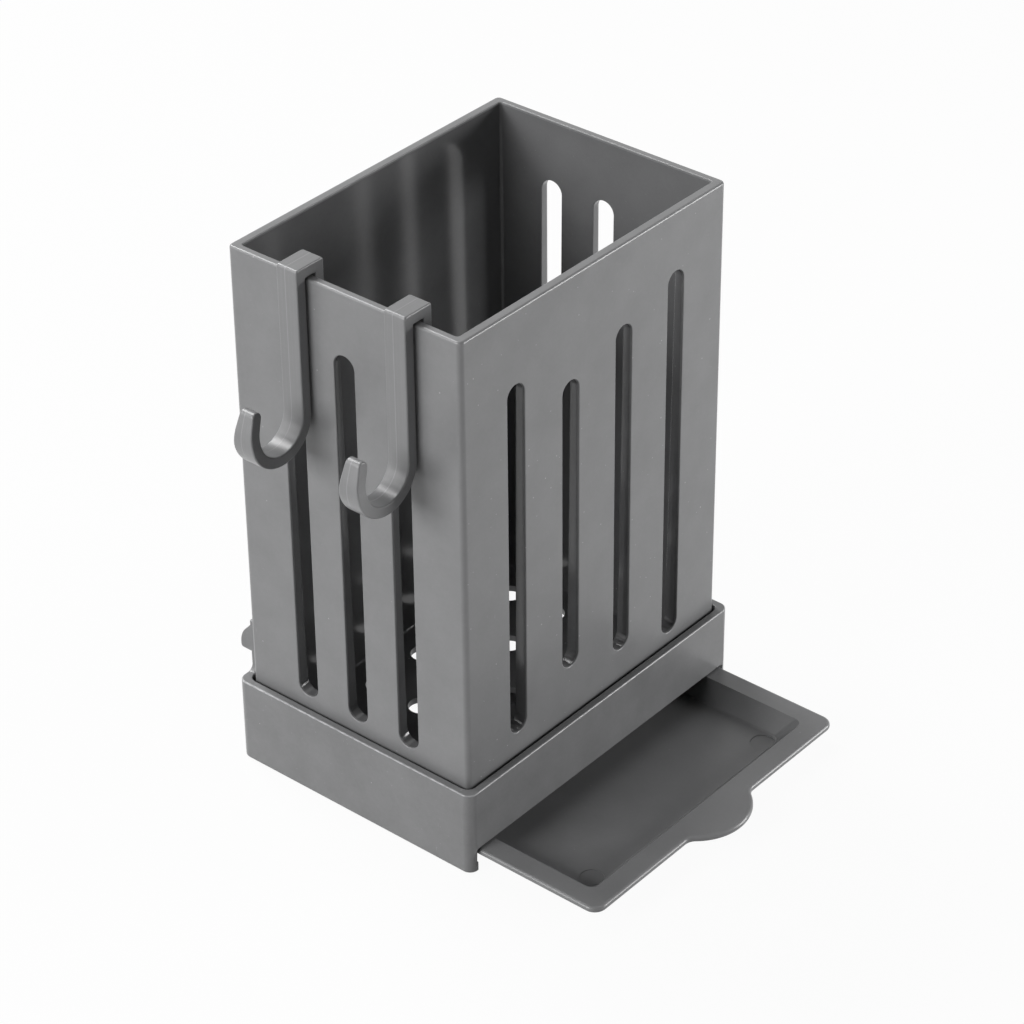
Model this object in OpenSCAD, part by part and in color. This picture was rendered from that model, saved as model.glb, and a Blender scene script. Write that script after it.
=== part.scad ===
// Chopstick holder: a slotted basket that stands in a low base, over a drip tray that pulls out
// of the base's long side, with two hooks hung over the rim of one end wall.
// Millimetres, +Z up. The origin is the centre of the base's footprint, on the standing surface.
// X runs across the holder, towards the side where the tray comes out, and Y along it.

/* [Basket] */
// Outside width across the short side (X)
basket_w = 85; // [78:1:100]
// Outside length along the long side (Y)
basket_l = 116.5; // [110:0.5:140]
// Height of the basket's rim above the standing surface
basket_top = 177.3; // [172:0.1:210]
// Height of the basket's underside, which is the top of the base's ledge
ledge_z = 10.4; // [10:0.1:13]
// Thickness of the two long walls
long_wall_t = 3; // [2:0.1:4]
// Thickness of the two end walls
end_wall_t = 2.5; // [1.8:0.1:3.5]
// Thickness of the basket's floor
floor_t = 2.2; // [1.5:0.1:4]
// Radius of the basket's upright outer corners
basket_corner_r = 1.7; // [0.8:0.1:4]
// Radius of the basket's upright inner corners
basket_inner_r = 0.8; // [0.4:0.1:2]

/* [Drain slots] */
// Height of the middle of every slot above the standing surface
slot_mid_z = 94.9; // [92:0.1:98]
// Width of the slots in the long side
side_slot_w = 7.2; // [4:0.1:12]
// Spacing of the four slots in the long side
side_slot_pitch = 23.7; // [18:0.1:26]
// Length of the first slot in the long side, next to the hooks
side_slot_1_len = 118; // [60:1:126]
// Length of the second slot
side_slot_2_len = 98; // [60:1:126]
// Length of the third slot
side_slot_3_len = 112; // [60:1:126]
// Length of the fourth slot
side_slot_4_len = 126; // [60:1:126]
// Width of the slots in the end walls
end_slot_w = 7.5; // [4:0.1:10]
// Spacing of the slots in the end walls
end_slot_pitch = 19.7; // [14:0.1:22]
// Length of the slots in the end walls
end_slot_len = 124.8; // [60:0.1:126]
// Number of slots in each end wall
end_slot_count = 3; // [1:1:3]

/* [Drain holes] */
// Diameter of the holes in the basket's floor
drain_d = 8.2; // [4:0.1:12]
// Spacing of the holes across the basket
drain_pitch_x = 17.3; // [14:0.1:19]
// Spacing of the holes along the basket
drain_pitch_y = 20.9; // [14:0.1:22]
// Number of holes across
drain_cols = 4; // [2:1:4]
// Number of holes along
drain_rows = 5; // [2:1:5]

/* [Base] */
// Height of the base's rim above the standing surface
base_top = 28.7; // [20:0.1:31]
// Clearance between the basket and the base's walls
basket_gap = 1; // [0.4:0.1:2]
// Thickness of the base's walls beside the basket
base_wall_t = 2.4; // [1.6:0.1:4]
// Radius of the base's upright outer corners
base_corner_r = 3.2; // [2.7:0.1:6]
// Width of the ledge that runs under the basket's edge
ledge_in = 3.5; // [2:0.1:6]
// Height of the opening for the tray
tray_bay_h = 8.2; // [8:0.1:9]
// How far the tray's bay reaches past the basket's outline on each side
bay_out = 0.7; // [0.5:0.1:1.5]
// Radius of the opening's upper corners
bay_corner_r = 1.2; // [0.5:0.1:2]
// How far the foot of each end wall stands in
foot_lip_in = 0.5; // [0.2:0.1:0.6]
// Height of that foot
foot_lip_h = 3.5; // [1:0.1:5]

/* [Rear tabs] */
// Height of the two tabs on the base's rear wall above the standing surface
tab_top = 46.6; // [40:0.1:60]
// Width of each tab
tab_w = 24; // [12:1:40]
// Distance from the end of the basket to the start of a tab
tab_inset = 3.1; // [2.7:0.1:12]
// Radius of the fillets at the foot of a tab
tab_fillet_r = 2; // [0.5:0.1:2.2]
// How far a tab's catch stands out behind
catch_out = 4.2; // [2:0.1:6]
// Height of the catch's flat underside above the standing surface
catch_z = 35.1; // [33:0.1:37]
// Height of the catch's upright rear face
catch_h = 4.9; // [2:0.1:6]

/* [Drip tray] */
// Length of the tray in the direction in which it slides (X)
tray_x = 88.6; // [80:0.1:90]
// Width of the tray along the holder (Y)
tray_y = 116; // [100:0.5:116]
// Height of the tray's rim above the standing surface
tray_top = 7.7; // [6:0.1:7.8]
// Thickness of the tray's rim and of its sides
tray_rim_t = 1.8; // [1:0.1:2.5]
// Thickness of the tray's floor
tray_floor_t = 1.5; // [1:0.1:2.5]
// Clearance between the tray and the standing surface
tray_foot_gap = 0.2; // [0.1:0.1:1]
// Width of the flat rim round the basin
tray_rim_w = 7; // [4:0.1:12]
// How far the basin's sides slope in between the rim and the floor
basin_slope = 4.7; // [1:0.1:6]
// Radius of the tray's outer corners
tray_corner_r = 4; // [1:0.1:8]
// Radius of the basin's corners
basin_corner_r = 2.5; // [1:0.1:6]
// How far the pull tab stands out past the rim
pull_out = 7.7; // [4:0.1:14]
// Radius of the pull tab's front edge
pull_r = 17.7; // [14:0.1:30]
// Radius of the hollows where the pull tab joins the rim
pull_fillet_r = 4; // [1:0.1:8]
// How far the tray is pulled out of the base in the stored position
tray_pulled = 43.7; // [0:0.1:80]
// Diameter of the shallow round marks in the basin's floor
mark_d = 7.5; // [3:0.1:12]
// Depth of these marks
mark_depth = 0.25; // [0.1:0.05:0.6]
// Distance of the marks' centres from the ends and sides of the basin's opening
mark_inset_x = 8.1; // [8:0.1:20]
// Distance of the marks' centres from the basin's long sides
mark_inset_y = 9.5; // [9:0.1:20]

/* [Hooks] */
// Width of each hook along the rim
hook_w = 7.6; // [5:0.1:12]
// Thickness of the hook's material
hook_t = 3.6; // [2:0.1:5]
// Clearance between the hook and the outside of the end wall
hook_front_gap = 0.5; // [0.3:0.1:1]
// Clearance between the hook and the inside of the end wall
hook_rear_gap = 0.8; // [0.3:0.1:1.5]
// Clearance between the hook and the rim
hook_rim_gap = 0.3; // [0.2:0.1:0.6]
// Radius of the hook's upper corners
hook_corner_r = 1; // [0.3:0.1:1.8]
// How far the hook's rear leg reaches down inside the basket, below the rim
hook_leg_len = 16; // [8:1:30]
// Height of the centre of the hook's bend above the standing surface
hook_bend_z = 135; // [110:0.1:150]
// Inner radius of the hook's bend
hook_bend_r = 8.4; // [5:0.1:12]
// Length of the free arm above the bend
hook_arm_len = 3.8; // [2:0.1:12]
// Lean of the free arm towards the wall, in degrees
hook_lean = 18.5; // [5:0.5:30]
// Width of the free arm at its tip
hook_tip_w = 4.9; // [3:0.1:5]
// How far below the centre of the bend the arm starts to narrow
hook_taper_drop = 2.2; // [0:0.1:6]
// Place of the left hook's middle, from the middle of the end wall
hook_left_x = -16.2; // [-30:0.1:-12]
// Place of the right hook's middle, from the middle of the end wall
hook_right_x = 22.9; // [12:0.1:30]

/* [Hidden] */
plastic = "#8f8f91";
$fn = 64;
// Overrun of a cutting shape past the faces that it cuts
cut = 1;
// Thickness of the thin slabs between which a sloping shape is stretched
skin = 0.01;
// Roundness of the shapes inside a hull
hull_fn = 32;

side_slot_lens = [side_slot_1_len, side_slot_2_len, side_slot_3_len, side_slot_4_len];
base_w = basket_w + 2 * (basket_gap + base_wall_t);
base_l = basket_l + 2 * (basket_gap + base_wall_t);
bay_w = basket_w + 2 * bay_out;
bay_l = basket_l + 2 * bay_out;
foot_l = bay_l - 2 * foot_lip_in;

// The closed tray's front edge is flush with the base, and its rest position is pulled out from there
tray_front = base_w / 2 + tray_pulled;
tray_rear = tray_front - tray_x;
tray_mid = (tray_front + tray_rear) / 2;
basin_x = tray_x - 2 * tray_rim_w;
basin_y = tray_y - 2 * tray_rim_w;
basin_floor_z = tray_foot_gap + tray_floor_t;
pull_centre = tray_front + pull_out - pull_r;
// Distance of the fillets' centres from the middle of the pull tab
pull_fillet_y = sqrt(pow(pull_r + pull_fillet_r, 2) - pow(tray_front + pull_fillet_r - pull_centre, 2));
// The share of the way from the tab's centre to a fillet's centre where the two arcs meet
pull_meet = pull_r / (pull_r + pull_fillet_r);

// Height of the hook's underside over the rim, and of its top
hook_under_z = basket_top + hook_rim_gap;
hook_top_z = hook_under_z + hook_t;
// The hook's four upright faces, as distances inward from the end wall's outer face
hook_front = -hook_front_gap - hook_t;
hook_back = -hook_front_gap;
leg_front = end_wall_t + hook_rear_gap;
leg_back = leg_front + hook_t;
// Heights between which the free arm narrows
hook_taper_z = hook_bend_z - hook_taper_drop;
hook_tip_z = hook_bend_z + (hook_bend_r + hook_t / 2) * sin(hook_lean)
    + hook_arm_len * cos(hook_lean) + hook_t / 2;

// A flat rectangle with round corners, about the origin
module rounded_rect(w, l, r) {
    square([w - 2 * r, l], center = true);
    square([w, l - 2 * r], center = true);
    for (sx = [-1, 1], sy = [-1, 1])
        translate([sx * (w / 2 - r), sy * (l / 2 - r)])
            circle(r = r);
}

module rounded_block(w, l, h, r) {
    linear_extrude(h) rounded_rect(w, l, r);
}

// A slot with round ends in the XY plane, its length along Y
module slot_outline(w, len) {
    square([w, len - w], center = true);
    for (s = [-1, 1])
        translate([0, s * (len - w) / 2])
            circle(d = w);
}

// Turns a flat outline so that its x lies along Y, its y along Z and its thickness along X
module along_x(depth) {
    rotate([90, 0, 90])
        linear_extrude(depth, center = true)
            children();
}

// Turns a flat outline so that its x lies along X, its y along Z and its thickness along Y
module along_y(depth) {
    rotate([90, 0, 0])
        linear_extrude(depth, center = true)
            children();
}

module side_slots() {
    first = -(len(side_slot_lens) - 1) / 2;
    for (i = [0 : len(side_slot_lens) - 1])
        translate([basket_w / 2 - long_wall_t / 2, (first + i) * side_slot_pitch, slot_mid_z])
            along_x(long_wall_t + 2 * cut)
                slot_outline(side_slot_w, side_slot_lens[i]);
}

module end_slots() {
    first = -(end_slot_count - 1) / 2;
    for (s = [-1, 1], i = [0 : end_slot_count - 1])
        translate([(first + i) * end_slot_pitch, s * (basket_l - end_wall_t) / 2, slot_mid_z])
            along_y(end_wall_t + 2 * cut)
                slot_outline(end_slot_w, end_slot_len);
}

module drain_holes() {
    for (i = [0 : drain_cols - 1], j = [0 : drain_rows - 1])
        translate([
            (i - (drain_cols - 1) / 2) * drain_pitch_x,
            (j - (drain_rows - 1) / 2) * drain_pitch_y,
            ledge_z - cut
        ])
            cylinder(d = drain_d, h = floor_t + 2 * cut);
}

module basket() {
    inner_w = basket_w - 2 * long_wall_t;
    inner_l = basket_l - 2 * end_wall_t;
    color(plastic)
        difference() {
            translate([0, 0, ledge_z])
                rounded_block(basket_w, basket_l, basket_top - ledge_z, basket_corner_r);
            translate([0, 0, ledge_z + floor_t])
                rounded_block(inner_w, inner_l, basket_top, basket_inner_r);
            side_slots();
            end_slots();
            drain_holes();
        }
}

// The doorway in the base's long side: round upper corners, and narrower between the feet
module bay_doorway() {
    difference() {
        union() {
            translate([-bay_l / 2, -cut])
                square([bay_l, tray_bay_h - bay_corner_r + cut]);
            translate([-bay_l / 2 + bay_corner_r, -cut])
                square([bay_l - 2 * bay_corner_r, tray_bay_h + cut]);
            for (s = [-1, 1])
                translate([s * (bay_l / 2 - bay_corner_r), tray_bay_h - bay_corner_r])
                    circle(r = bay_corner_r);
        }
        for (s = [-1, 1])
            translate([s * bay_l / 2, 0])
                square([2 * foot_lip_in, 2 * foot_lip_h], center = true);
    }
}

// The space that the tray slides into, as it is cut out of the base
module tray_bay() {
    door_depth = base_w / 2 - bay_w / 2 + 2 * cut;
    translate([0, 0, foot_lip_h])
        linear_extrude(tray_bay_h - foot_lip_h)
            square([bay_w, bay_l], center = true);
    translate([0, 0, -cut])
        linear_extrude(foot_lip_h + 2 * cut)
            square([bay_w, foot_l], center = true);
    translate([bay_w / 2 - cut + door_depth / 2, 0, 0])
        along_x(door_depth) bay_doorway();
}

// The outline of one upright tab, seen from behind, with a fillet on each side of its foot
module tab_outline() {
    rise = tab_top - base_top;
    difference() {
        union() {
            translate([-tab_w / 2, -cut])
                square([tab_w, rise + cut]);
            translate([-tab_w / 2 - tab_fillet_r, -cut])
                square([tab_w + 2 * tab_fillet_r, tab_fillet_r + cut]);
        }
        for (s = [-1, 1])
            translate([s * (tab_w / 2 + tab_fillet_r), tab_fillet_r])
                circle(r = tab_fillet_r);
    }
}

// A tab with the catch behind it: flat underneath, upright behind and sloping at the top
module rear_tab() {
    catch_top = tab_top - base_wall_t / 4;
    translate([-base_w / 2 + base_wall_t / 2, 0, base_top])
        along_x(base_wall_t) tab_outline();
    translate([-base_w / 2, 0, 0])
        along_y(tab_w)
            polygon([
                [base_wall_t / 2, catch_z],
                [-catch_out, catch_z],
                [-catch_out, catch_z + catch_h],
                [0, catch_top],
                [base_wall_t / 2, catch_top]
            ]);
}

module base() {
    color(plastic)
        union() {
            difference() {
                rounded_block(base_w, base_l, base_top, base_corner_r);
                translate([0, 0, ledge_z])
                    rounded_block(
                        basket_w + 2 * basket_gap,
                        basket_l + 2 * basket_gap,
                        base_top,
                        basket_corner_r + basket_gap
                    );
                linear_extrude(base_top)
                    square([basket_w - 2 * ledge_in, basket_l - 2 * ledge_in], center = true);
                tray_bay();
            }
            for (s = [-1, 1])
                translate([0, s * (basket_l / 2 - tab_inset - tab_w / 2), 0])
                    rear_tab();
        }
}

// The pull tab's outline beyond the tray's front edge, with a hollow on each side
module pull_outline() {
    meet_x = pull_centre + (tray_front + pull_fillet_r - pull_centre) * pull_meet;
    meet_y = pull_fillet_y * pull_meet;
    root = tray_front - tray_rim_w / 2;
    difference() {
        union() {
            intersection() {
                translate([pull_centre, 0])
                    circle(r = pull_r, $fn = 120);
                translate([root, -pull_r])
                    square([pull_r + pull_out, 2 * pull_r]);
            }
            polygon([
                [root, -pull_fillet_y],
                [tray_front, -pull_fillet_y],
                [meet_x, -meet_y],
                [meet_x, meet_y],
                [tray_front, pull_fillet_y],
                [root, pull_fillet_y]
            ]);
        }
        for (s = [-1, 1])
            translate([tray_front + pull_fillet_r, s * pull_fillet_y])
                circle(r = pull_fillet_r);
    }
}

// A basin-shaped block whose sides slope in from its top to its bottom
module basin_block(top_z, bottom_z, grow) {
    w = basin_x + 2 * grow;
    l = basin_y + 2 * grow;
    r = basin_corner_r + grow;
    hull() {
        translate([tray_mid, 0, top_z - skin])
            linear_extrude(skin)
                rounded_rect(w, l, r, $fn = hull_fn);
        translate([tray_mid, 0, bottom_z])
            linear_extrude(skin)
                rounded_rect(w - 2 * basin_slope, l - 2 * basin_slope, r, $fn = hull_fn);
    }
}

module floor_marks() {
    for (sx = [-1, 1], sy = [-1, 1])
        translate([
            tray_mid + sx * (basin_x / 2 - mark_inset_x),
            sy * (basin_y / 2 - mark_inset_y),
            basin_floor_z - mark_depth
        ])
            cylinder(d = mark_d, h = mark_depth + cut);
}

module drip_tray() {
    color(plastic)
        difference() {
            union() {
                translate([0, 0, tray_top - tray_rim_t])
                    linear_extrude(tray_rim_t)
                        union() {
                            translate([tray_mid, 0])
                                rounded_rect(tray_x, tray_y, tray_corner_r);
                            pull_outline();
                        }
                basin_block(tray_top - tray_rim_t / 2, tray_foot_gap, tray_rim_t);
            }
            basin_block(tray_top, basin_floor_z, 0);
            translate([tray_mid, 0, tray_top - skin])
                rounded_block(basin_x, basin_y, cut, basin_corner_r);
            floor_marks();
        }
}

// Points along an arc
function arc_points(centre, r, from, to, steps) =
    [for (i = [0 : steps]) let (a = from + (to - from) * i / steps) centre + r * [cos(a), sin(a)]];

// Side view of a hook: the bend, the tip of the free arm, then up the strap, over the rim and
// down the leg behind it. x is the distance inward from the end wall's outer face, y the height.
module hook_profile() {
    sweep = 180 + hook_lean;
    steps = ceil(sweep / 6);
    centre = [hook_front - hook_bend_r, hook_bend_z];
    // Directions from the bend's centre to the arm's root, and along the arm
    out = [-cos(hook_lean), sin(hook_lean)];
    along = [sin(hook_lean), cos(hook_lean)];
    tip = centre + (hook_bend_r + hook_t / 2) * out + hook_arm_len * along;
    r = hook_corner_r;
    polygon(concat(
        arc_points(centre, hook_bend_r + hook_t, 0, -sweep, steps),
        [for (p = arc_points([0, 0], hook_t / 2, 0, 180, 12)) tip + p[0] * out + p[1] * along],
        arc_points(centre, hook_bend_r, -sweep, 0, steps),
        arc_points([hook_front + r, hook_top_z - r], r, 180, 90, 6),
        arc_points([leg_back - r, hook_top_z - r], r, 90, 0, 6),
        [
            [leg_back, basket_top - hook_leg_len],
            [leg_front, basket_top - hook_leg_len],
            [leg_front, hook_under_z],
            [hook_back, hook_under_z]
        ]
    ));
}

// What is cut off both sides of the free arm, so that it narrows evenly towards its tip
module hook_taper() {
    reach = 2 * (hook_bend_r + hook_t);
    for (s = [0, 1])
        mirror([0, 0, s])
            translate([hook_front - hook_bend_r, 0, 0])
                rotate([0, -90, 0])
                    linear_extrude(reach)
                        polygon([
                            [hook_w / 2, hook_taper_z],
                            [hook_tip_w / 2, hook_tip_z],
                            [hook_tip_w / 2, hook_tip_z + cut],
                            [hook_w / 2 + cut, hook_tip_z + cut],
                            [hook_w / 2 + cut, hook_taper_z]
                        ]);
}

module hook(x) {
    color(plastic)
        translate([x, -basket_l / 2, 0])
            rotate([90, 0, 90])
                difference() {
                    linear_extrude(hook_w, center = true)
                        hook_profile();
                    hook_taper();
                }
}

module hook_left() {
    hook(hook_left_x);
}

module hook_right() {
    hook(hook_right_x);
}

basket();
base();
drip_tray();
hook_left();
hook_right();
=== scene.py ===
"""A chopstick holder: a slotted basket in a low base, with a drip tray and two hooks on the rim."""

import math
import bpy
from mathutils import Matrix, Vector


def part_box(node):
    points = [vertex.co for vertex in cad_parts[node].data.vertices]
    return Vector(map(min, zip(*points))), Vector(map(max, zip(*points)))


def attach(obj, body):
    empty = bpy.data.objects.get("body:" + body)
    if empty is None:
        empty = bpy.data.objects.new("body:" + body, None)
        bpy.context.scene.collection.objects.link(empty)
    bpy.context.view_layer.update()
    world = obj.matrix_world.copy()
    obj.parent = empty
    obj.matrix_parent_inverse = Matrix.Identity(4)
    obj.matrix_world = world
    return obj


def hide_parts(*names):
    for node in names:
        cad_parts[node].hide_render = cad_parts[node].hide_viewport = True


bl_info = {
    "name": "Chopstick Holder",
    "version": (1, 0, 0),
    "blender": (4, 5, 0),
    "location": "3D View > Sidebar > Holder",
    "description": "Models a slotted chopstick holder with its base, drip tray and rim hooks",
    "category": "Add Mesh",
}

import bmesh
import bpy
from bpy.props import FloatProperty, FloatVectorProperty, IntProperty, PointerProperty
from mathutils import Vector

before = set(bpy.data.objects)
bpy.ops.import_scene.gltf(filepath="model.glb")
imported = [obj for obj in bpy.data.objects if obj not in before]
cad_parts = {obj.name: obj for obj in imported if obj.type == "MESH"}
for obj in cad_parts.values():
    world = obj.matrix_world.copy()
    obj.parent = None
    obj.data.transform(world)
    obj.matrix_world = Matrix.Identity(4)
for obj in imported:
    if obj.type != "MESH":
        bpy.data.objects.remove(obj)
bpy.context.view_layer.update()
BASKET_LOW, BASKET_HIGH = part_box("basket")
BASE_LOW, BASE_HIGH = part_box("base")
TRAY_LOW, TRAY_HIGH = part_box("drip_tray")
HOOK_LEFT_LOW, HOOK_LEFT_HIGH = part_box("hook_left")
HOOK_RIGHT_LOW, HOOK_RIGHT_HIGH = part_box("hook_right")
MM = 0.001


def length(name, description, default_mm, low_mm=0.0, high_mm=300.0):
    """A size that a user can change, given here in millimetres and kept in metres."""
    return FloatProperty(
        name=name,
        description=description,
        default=default_mm * MM,
        min=low_mm * MM,
        max=high_mm * MM,
        precision=5,
        unit="LENGTH",
    )


def fraction(name, description, default):
    """A number from 0 to 1 that a user can change."""
    return FloatProperty(name=name, description=description, default=default, min=0.0, max=1.0)


# Settings


class BasketSettings(bpy.types.PropertyGroup):
    long_wall: length("Long wall", "Thickness of the two long walls", 3.0, 1.0, 6.0)
    end_wall: length("End wall", "Thickness of the two end walls", 2.5, 1.0, 6.0)
    floor: length("Floor", "Thickness of the floor", 2.2, 1.0, 6.0)
    draft: FloatProperty(
        name="Draft",
        description="Slope of the inner faces, which lets the moulding come off its core",
        default=math.radians(0.6),
        min=0.0,
        max=math.radians(1.5),
        subtype="ANGLE",
    )
    corner: length("Corner radius", "Radius of the upright outer corners", 1.7, 0.5, 4.0)
    inner_corner: length("Inner corner", "Radius of the upright inner corners", 0.9, 0.3, 2.0)
    rim_round: length("Rim rounding", "Rounding of the rim's outer edge", 0.8, 0.1, 1.2)
    foot_round: length("Foot rounding", "Rounding of the bottom's outer edge", 0.5, 0.1, 1.2)
    floor_round: length("Floor rounding", "Rounding inside the foot of the walls", 0.8, 0.1, 2.0)
    slot_middle: length("Slot middle", "Height of the middle of every slot", 94.9)
    side_slot: length("Side slot", "Width of the slots in the long side", 7.2, 2.0, 20.0)
    side_pitch: length("Side pitch", "Spacing of the slots in the long side", 23.7)
    side_slot_lengths: FloatVectorProperty(
        name="Side slot lengths",
        description="Length of each slot in the long side, from the end with the hooks",
        size=4,
        default=(0.118, 0.098, 0.112, 0.126),
        unit="LENGTH",
    )
    end_slot: length("End slot", "Width of the slots in the end walls", 7.5, 2.0, 20.0)
    end_pitch: length("End pitch", "Spacing of the slots in the end walls", 19.7)
    end_slot_length: length("End slot length", "Length of the slots in the end walls", 124.8)
    end_slot_count: IntProperty(
        name="End slots", description="Number of slots in each end wall", default=3, min=1, max=4
    )
    drain: length("Drain hole", "Diameter of the drain holes", 8.2, 2.0, 12.0)
    drain_pitch_x: length("Drain pitch across", "Spacing of the drain holes across", 17.3)
    drain_pitch_y: length("Drain pitch along", "Spacing of the drain holes along", 20.9)
    drain_round: length("Drain rounding", "Rounding of the drain holes' edges", 0.12, 0.0, 0.4)
    edge_round: length("Edge rounding", "Rounding of the slots' edges", 0.35, 0.0, 0.6)


class BaseSettings(bpy.types.PropertyGroup):
    clearance: length("Clearance", "Gap between the basket and the base's wall", 1.0, 0.2, 3.0)
    wall: length("Wall", "Thickness of the wall round the basket", 2.4, 1.0, 5.0)
    rim: length("Rim height", "Height of the rim above the worktop", 28.7)
    ledge: length("Ledge height", "Height of the ledge that carries the basket", 10.4)
    ledge_width: length("Ledge width", "How far the ledge runs in under the basket", 3.5)
    corner: length("Corner radius", "Radius of the upright outer corners", 3.1, 1.0, 8.0)
    pocket_corner: length("Pocket corner", "Radius of the pocket's upright corners", 2.7, 0.5, 6.0)
    rim_round: length("Rim rounding", "Rounding of the rim's outer edge", 0.5, 0.1, 1.2)
    foot_round: length("Foot rounding", "Rounding of the foot's outer edge", 0.8, 0.1, 1.2)
    bay_height: length("Bay height", "Height of the opening for the tray", 8.2)
    bay_out: length("Bay width", "How far the bay passes the basket's outline", 0.7)
    bay_corner: length("Bay corner", "Radius of the opening's upper corners", 1.2, 0.2, 3.0)
    foot_lip: length("Foot lip", "How far the end walls' feet stand in", 0.5, 0.0, 1.0)
    foot_lip_height: length("Foot lip height", "Height of the end walls' feet", 3.5)
    tab_width: length("Tab width", "Width of each tab on the rear wall", 24.0)
    tab_inset: length("Tab inset", "Distance from the basket's end to a tab", 3.1)
    tab_fillet: length("Tab fillet", "Radius of the fillets at a tab's foot", 2.0)
    catch_height: length("Catch height", "Height of the catch's flat underside", 35.1)
    catch_face: length("Catch face", "Height of the catch's upright face", 4.9)
    catch_round: length("Catch rounding", "Rounding of the catch's upper corner", 2.6, 0.3, 4.0)
    catch_under_round: length("Catch foot", "Rounding of the catch's lower corner", 1.0, 0.3, 2.0)
    edge_round: length("Edge rounding", "Rounding of the remaining edges", 0.3, 0.0, 0.6)


class TraySettings(bpy.types.PropertyGroup):
    rim_thickness: length("Rim thickness", "Thickness of the rim and sides", 1.8, 0.8, 4.0)
    rim_width: length("Rim width", "Width of the flat rim round the basin", 7.0)
    corner: length("Corner radius", "Radius of the outer corners", 4.0)
    basin_corner: length("Basin corner", "Radius of the basin's corners", 2.5)
    slope: length("Slope", "How far the basin's sides slope in", 4.7)
    floor: length("Floor", "Thickness of the tray's floor", 1.5)
    tab_out: length("Tab length", "How far the pull tab stands out", 7.7)
    tab_radius: length("Tab radius", "Radius of the pull tab's edge", 17.7)
    tab_fillet: length("Tab fillet", "Radius of the hollows beside the pull tab", 4.0)
    lip_round: length("Lip rounding", "Rounding of the rim's upper outer edge", 1.1, 0.1, 1.6)
    under_round: length("Under rounding", "Rounding of the rim's lower outer edge", 0.4, 0.1, 0.8)
    basin_round: length("Basin rounding", "Rounding inside the foot of the sides", 0.6, 0.1, 4.0)
    foot_round: length("Foot rounding", "Rounding under the foot of the sides", 1.2, 0.1, 4.0)
    mark: length("Mark", "Diameter of the round moulding marks", 7.5)
    mark_depth: length("Mark depth", "Depth of the round moulding marks", 0.22, 0.0, 1.0)
    mark_inset_x: length("Mark inset across", "Marks' distance from the basin's ends", 8.1)
    mark_inset_y: length("Mark inset along", "Marks' distance from the basin's sides", 9.5)


class HookSettings(bpy.types.PropertyGroup):
    thickness: length("Thickness", "Thickness of the hook", 3.6, 1.0, 8.0)
    front_gap: length("Front gap", "Gap between the hook and the wall's face", 0.5, 0.1, 2.0)
    rear_gap: length("Rear gap", "Gap between the hook and the wall's back", 0.8, 0.1, 2.0)
    bend_height: length("Bend height", "Height of the centre of the bend", 135.0)
    bend_radius: length("Bend radius", "Inner radius of the bend", 8.4)
    arm: length("Arm", "Length of the free arm above the bend", 3.8)
    lean: FloatProperty(
        name="Lean",
        description="Lean of the free arm towards the wall",
        default=math.radians(18.5),
        subtype="ANGLE",
    )
    taper_drop: length("Taper start", "How far below the bend's centre the arm narrows", 2.2)
    tip_width: length("Tip width", "Width of the free arm at its tip", 4.9)
    top_round: length("Top rounding", "Rounding of the bar over the rim", 0.9, 0.1, 1.6)
    edge_round: length("Edge rounding", "Rounding of the hook's long edges", 0.5, 0.0, 1.0)
    line_offset: length("Parting line", "How far the parting line is off the middle", 0.5, 0.0, 3.0)


class PlasticSettings(bpy.types.PropertyGroup):
    colour: FloatVectorProperty(
        name="Colour",
        description="Colour of the moulded plastic",
        subtype="COLOR",
        size=3,
        min=0.0,
        max=1.0,
        default=(0.185, 0.186, 0.189),
    )
    # Above 0.28 everywhere outside: the noise filter leaves dots where it falls below that
    roughness: fraction("Roughness", "Roughness of the satin skin", 0.32)
    inner_roughness: fraction("Inner roughness", "Share of the roughness inside the basket", 0.36)
    # Darkens the colour inside the basket: painted shade in its hollow
    inner_painted_shade: fraction("Inner painted shade", "Share of the colour inside the basket", 0.82)
    ior: FloatProperty(
        name="IOR", description="Refractive index of the plastic", default=1.5, min=1.0, max=2.0
    )


class StudioSettings(bpy.types.PropertyGroup):
    camera_place: FloatVectorProperty(
        name="Camera place",
        description="Where the camera stands",
        subtype="TRANSLATION",
        default=(0.5582, -0.64804, 0.64639),
    )
    camera_turn: FloatVectorProperty(
        name="Camera turn",
        description="The camera's rotation",
        subtype="EULER",
        default=(math.radians(56.302), math.radians(0.471), math.radians(39.885)),
    )
    field_of_view: FloatProperty(
        name="Field of view",
        description="The camera's field of view",
        subtype="ANGLE",
        default=math.radians(16.822),
    )


# Modelling helpers


def clear_selection():
    """Leaves edit mode and deselects everything, the frame's own parts too."""
    if bpy.context.mode != "OBJECT":
        bpy.ops.object.mode_set(mode="OBJECT")
    bpy.ops.object.select_all(action="DESELECT")


def take(piece):
    """Makes a piece the only one selected."""
    clear_selection()
    piece.select_set(True)
    bpy.context.view_layer.objects.active = piece


def settle(name):
    """Names the new primitive and puts its place into its mesh."""
    piece = bpy.context.object
    take(piece)
    bpy.ops.object.transform_apply(location=True, rotation=True, scale=True)
    piece.name = name
    return piece


def add_block(name, low, high):
    """A block between two opposite corners, to be shaped further."""
    clear_selection()
    low, high = Vector(low), Vector(high)
    bpy.ops.mesh.primitive_cube_add(size=1, location=(low + high) / 2)
    bpy.context.object.scale = high - low
    return settle(name)


def add_post(name, centre, radius, depth, axis="Z", sides=64):
    """A round post about a centre, along one axis."""
    clear_selection()
    turn = {"X": (0, math.pi / 2, 0), "Y": (math.pi / 2, 0, 0), "Z": (0, 0, 0)}[axis]
    bpy.ops.mesh.primitive_cylinder_add(
        vertices=sides, radius=radius, depth=depth, location=centre, rotation=turn
    )
    return settle(name)


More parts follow.
